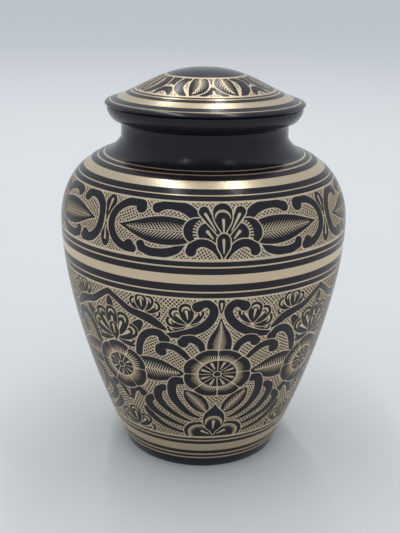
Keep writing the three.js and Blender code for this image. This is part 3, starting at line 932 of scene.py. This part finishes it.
def body_profile():
    profile = Profile()
    inner = FOOT_RADIUS - FOOT_RING_WIDTH
    profile.add([(0, UNDERSIDE_RECESS), (inner, UNDERSIDE_RECESS), (inner, EDGE_ROUND),
                 (inner + EDGE_ROUND, 0), (FOOT_RADIUS - EDGE_ROUND, 0), (FOOT_RADIUS, EDGE_ROUND)], BLACK)
    rings = [(BODY.at_height(low), BODY.at_height(high), RING_DEPTH, BRASS) for low, high in BODY_RINGS]
    for low, high in (LOWER_BORDERS, SHOULDER_BORDERS):
        rings.append((BODY.at_height(low), BODY.at_height(high), GROUND_DEPTH, GROUND))
    ringed(profile, BODY, 0.0, BODY.length, sorted(rings), BODY_PITCH)
    profile.add(NECK.stretch(0.0, NECK.length, NECK_PITCH), BLACK)
    nose = (COLLAR_LOWER_RADIUS - COLLAR_NOSE[0], COLLAR_LOWER_HEIGHT - COLLAR_NOSE[1])
    undercut = bezier([(NECK_RADIUS, COLLAR_LOWER_HEIGHT - UNDERCUT_START),
                       (NECK_RADIUS, COLLAR_LOWER_HEIGHT - UNDERCUT_STRAIGHT),
                       (COLLAR_LOWER_RADIUS - UNDERCUT_REACH[0], COLLAR_LOWER_HEIGHT - UNDERCUT_REACH[1]),
                       nose], COLLAR_STEPS)
    flare = bezier([nose, (COLLAR_LOWER_RADIUS + COLLAR_NOSE[0], COLLAR_LOWER_HEIGHT),
                    (COLLAR_UPPER_RADIUS, COLLAR_TOP - COLLAR_FLARE),
                    (COLLAR_UPPER_RADIUS, COLLAR_TOP - COLLAR_EDGE_HEIGHT)], COLLAR_STEPS)
    profile.add(undercut, BLACK)
    profile.add(flare, BLACK)
    mouth = NECK_RADIUS - BODY_WALL
    profile.add([(COLLAR_UPPER_RADIUS, COLLAR_TOP - EDGE_ROUND),
                 (COLLAR_UPPER_RADIUS - EDGE_ROUND, COLLAR_TOP),
                 (mouth + EDGE_ROUND, COLLAR_TOP), (mouth, COLLAR_TOP - EDGE_ROUND)], BLACK)
    profile.add(NECK.stretch(NECK.length, 0.0, INSIDE_NECK_PITCH, BODY_WALL), BRASS)
    profile.add(BODY.stretch(BODY.length, BODY_WALL, INSIDE_BODY_PITCH, BODY_WALL), BRASS)
    floor = UNDERSIDE_RECESS + BODY_WALL
    profile.add([(FOOT_TOP_RADIUS - BODY_WALL, floor), (0, floor)], BRASS)
    return profile


def lid_profile():
    profile = Profile()
    spigot = NECK_RADIUS - BODY_WALL - SPIGOT_CLEARANCE
    lip = LID_RADIUS - LID_LIP_WIDTH
    ceiling = DOME.stretch(DOME.length, DOME.at_radius(spigot), INSIDE_LID_PITCH, LID_WALL)
    profile.add([(0, LID_TOP - LID_WALL)], BRASS)
    profile.add([corner for corner in ceiling[1:] if corner[0] < spigot - SPIGOT_WALL - SPIGOT_MARGIN], BRASS)
    profile.add([(spigot - SPIGOT_WALL, LID_SEAT + LID_LIP_HEIGHT),
                 (spigot - SPIGOT_WALL, LID_SEAT - SPIGOT_DEPTH),
                 (spigot, LID_SEAT - SPIGOT_DEPTH), (spigot, LID_SEAT + LID_LIP_HEIGHT),
                 (lip, LID_SEAT + LID_LIP_HEIGHT), (lip, LID_SEAT)], BRASS)
    profile.add([(LID_RADIUS - LID_EDGE_ROUND / 2, LID_SEAT), (LID_RADIUS, LID_SEAT + LID_EDGE_ROUND / 2),
                 (LID_RADIUS, DOME_EDGE[1] - LID_EDGE_ROUND), DOME_EDGE], BLACK)
    rings = [(DOME.at_radius(outer), DOME.at_radius(inner), RING_DEPTH, BRASS) for inner, outer in LID_RINGS]
    rings.append((DOME.at_radius(LID_BORDERS[0]), DOME.at_radius(LID_BORDERS[1]), GROUND_DEPTH, GROUND))
    ringed(profile, DOME, 0.0, DOME.length, sorted(rings), LID_PITCH)
    return profile


# Materials

def shader_material(name, **values):
    """A material whose sockets are set from keywords, with underscores for the spaces in their names."""
    material = bpy.data.materials.new(name)
    material.use_nodes = True
    shader = material.node_tree.nodes["Principled BSDF"]
    for socket, value in values.items():
        shader.inputs[socket.replace("_", " ")].default_value = value
    return material


def varied_roughness(material, low, high, scale):
    """Roughness that drifts between two values over the surface."""
    nodes, links = material.node_tree.nodes, material.node_tree.links
    place = nodes.new("ShaderNodeTexCoord")
    noise = nodes.new("ShaderNodeTexNoise")
    noise.inputs["Scale"].default_value = scale
    noise.inputs["Detail"].default_value = 3.0
    spread = nodes.new("ShaderNodeMapRange")
    spread.inputs["To Min"].default_value = low
    spread.inputs["To Max"].default_value = high
    links.new(place.outputs["Object"], noise.inputs["Vector"])
    links.new(noise.outputs["Fac"], spread.inputs["Value"])
    links.new(spread.outputs["Result"], nodes["Principled BSDF"].inputs["Roughness"])


def bumped(material, scale, depth, stretched=(1.0, 1.0, 1.0)):
    nodes, links = material.node_tree.nodes, material.node_tree.links
    place = nodes.new("ShaderNodeTexCoord")
    mapping = nodes.new("ShaderNodeMapping")
    mapping.inputs["Scale"].default_value = stretched
    noise = nodes.new("ShaderNodeTexNoise")
    noise.inputs["Scale"].default_value = scale
    noise.inputs["Detail"].default_value = 2.0
    bump = nodes.new("ShaderNodeBump")
    bump.inputs["Distance"].default_value = depth
    links.new(place.outputs["Object"], mapping.inputs["Vector"])
    links.new(mapping.outputs["Vector"], noise.inputs["Vector"])
    links.new(noise.outputs["Fac"], bump.inputs["Height"])
    links.new(bump.outputs["Normal"], nodes["Principled BSDF"].inputs["Normal"])


def black_lacquer():
    material = shader_material("black_lacquer", Base_Color=(0.0105, 0.0098, 0.0150, 1.0), Metallic=0.0,
                               Specular_IOR_Level=0.30)
    varied_roughness(material, low=0.16, high=0.24, scale=45.0)
    return material


def turned_brass():
    material = shader_material("turned_brass", Base_Color=(0.66, 0.53, 0.37, 1.0), Metallic=1.0)
    varied_roughness(material, low=0.23, high=0.30, scale=60.0)
    bumped(material, scale=40.0, depth=0.00004, stretched=(1.0, 1.0, 60.0))
    return material


def cut_brass():
    material = shader_material("cut_brass", Base_Color=(0.68, 0.565, 0.41, 1.0), Metallic=1.0)
    varied_roughness(material, low=0.36, high=0.46, scale=90.0)
    bumped(material, scale=900.0, depth=0.00005)
    return material


def pale_floor():
    return shader_material("pale_floor", Base_Color=(0.81, 0.815, 0.82, 1.0), Roughness=0.8,
                           Specular_IOR_Level=0.2)


# The room: camera, floor and light

CAMERA_DISTANCE = 522.4
CAMERA_HEIGHT = 293.7
CAMERA_AZIMUTH = math.radians(-7.2)
CAMERA_PITCH = math.radians(-18.68)
CAMERA_ROLL = 0.0153
AXIS_OFFSET_PIXELS = 2.76
FOCAL_PIXELS = 850.0
PHOTO_LONG_SIDE_PIXELS = 533.0
SENSOR = 36.0

# Metres, watts and linear colours
FLOOR_RADIUS = 40.0
CEILING = 2.1
TUBE_WIDTH = 0.07
TUBE_POWER = 8.0
TUBE_COLOUR = (1.0, 0.99, 0.97)
TUBES = (("left_tube", (-0.57, -0.5), (-0.37, 1.7)), ("right_tube", (0.60, -0.5), (0.31, 1.7)))
ROOM_COLOUR = (0.638, 0.686, 0.730, 1.0)
ROOM_STRENGTH = 0.96


def add_camera():
    camera = bpy.data.cameras.new("camera")
    camera.sensor_width = SENSOR
    camera.lens = FOCAL_PIXELS * SENSOR / PHOTO_LONG_SIDE_PIXELS
    viewer = bpy.data.objects.new("camera", camera)
    pan = CAMERA_AZIMUTH + AXIS_OFFSET_PIXELS / FOCAL_PIXELS
    place = Vector((CAMERA_DISTANCE * math.sin(CAMERA_AZIMUTH), -CAMERA_DISTANCE * math.cos(CAMERA_AZIMUTH),
                    CAMERA_HEIGHT)) * MM
    viewer.matrix_world = (Matrix.Translation(place) @ Matrix.Rotation(pan, 4, "Z")
                           @ Matrix.Rotation(math.pi / 2 + CAMERA_PITCH, 4, "X")
                           @ Matrix.Rotation(CAMERA_ROLL, 4, "Z"))
    bpy.context.scene.collection.objects.link(viewer)
    bpy.context.scene.camera = viewer


def add_floor():
    bpy.ops.mesh.primitive_circle_add(vertices=96, radius=FLOOR_RADIUS, fill_type="NGON", location=(0, 0, 0))
    floor = bpy.context.object
    floor.name = "floor"
    floor.data.materials.append(pale_floor())


def add_tube(name, near, far):
    """A long narrow lamp overhead that shines straight down."""
    light = bpy.data.lights.new(name, "AREA")
    light.shape = "RECTANGLE"
    light.size = TUBE_WIDTH
    light.size_y = math.dist(near, far)
    light.energy = TUBE_POWER
    light.color = TUBE_COLOUR
    lamp = bpy.data.objects.new(name, light)
    lamp.location = ((near[0] + far[0]) / 2, (near[1] + far[1]) / 2, CEILING)
    lamp.rotation_euler = (0.0, 0.0, math.atan2(near[0] - far[0], far[1] - near[1]))
    bpy.context.scene.collection.objects.link(lamp)


def light_the_room():
    world = bpy.data.worlds.new("room")
    bpy.context.scene.world = world
    world.use_nodes = True
    background = world.node_tree.nodes["Background"]
    background.inputs["Color"].default_value = ROOM_COLOUR
    background.inputs["Strength"].default_value = ROOM_STRENGTH
    for tube in TUBES:
        add_tube(*tube)
    bpy.context.scene.view_settings.view_transform = "Standard"


def build():
    add_camera()
    black, brass, cut = black_lacquer(), turned_brass(), cut_brass()
    body = turn("urn_body_shell", body_profile(), TURNED_SEGMENTS, [black, brass, cut])
    lid = turn("lid_shell", lid_profile(), TURNED_SEGMENTS, [black, brass, cut])
    for shell in (body, lid):
        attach(shell, "root")
    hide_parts("urn_belly", "urn_shoulder")
    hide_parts("lid")
    for name, outline, band, draw in (("shoulder_relief", BODY, SHOULDER_BAND, shoulder_ornament),
                                      ("lower_relief", BODY, LOWER_BAND, lower_ornament),
                                      ("lid_relief", DOME, LID_BAND, lid_ornament)):
        for plates in relief(name, outline, band, draw, [black, cut]):
            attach(plates, "root")
    add_floor()
    light_the_room()


build()
